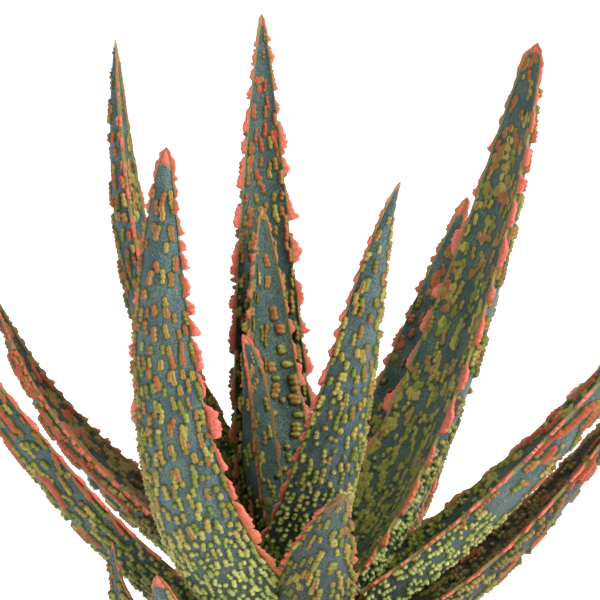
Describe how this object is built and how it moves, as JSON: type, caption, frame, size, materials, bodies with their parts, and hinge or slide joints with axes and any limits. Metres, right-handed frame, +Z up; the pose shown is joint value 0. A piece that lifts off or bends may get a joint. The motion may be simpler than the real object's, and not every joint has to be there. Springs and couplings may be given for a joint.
{
  "type": "potted aloe plant",
  "caption": "Rosette of thick, curved, tapering succulent leaves with toothed margins, on a short stem rooted in potting mix in a plain round clay pot.",
  "frame": {"origin": "centre of the pot's flat base, on the surface that it stands on", "axes": "+Z up along the pot's axis and the stem; +X to the right and +Y to the back when the plant is seen from its front"},
  "size_m": [0.2848, 0.1645, 0.313],
  "materials": {
    "clay": "matt unglazed terracotta with a pale mineral bloom",
    "potting_mix": "rough dark peat and bark with grit and perlite",
    "bark": "dry ringed stem with fleshy pale roots",
    "leaf": "waxy grey-teal skin with raised pale green spots and coral-red toothed margins"
  },
  "bodies": {
    "root": {"pot": "clay", "potting_mix": "potting_mix", "stem_and_roots": "bark", "heart_leaf": "leaf", "inner_back_leaf": "leaf", "front_right_leaf": "leaf", "tall_back_leaf": "leaf", "tall_left_leaf": "leaf", "front_left_leaf": "leaf", "mid_left_leaf": "leaf", "tall_right_leaf": "leaf", "right_back_leaf": "leaf", "short_front_leaf": "leaf", "back_leaf": "leaf", "back_right_leaf": "leaf", "low_right_leaf": "leaf", "back_left_leaf": "leaf", "low_back_leaf": "leaf", "small_left_leaf": "leaf", "lowest_right_leaf": "leaf", "low_front_leaf": "leaf", "low_left_leaf": "leaf", "lowest_left_leaf": "leaf"}
  },
  "joints": []
}
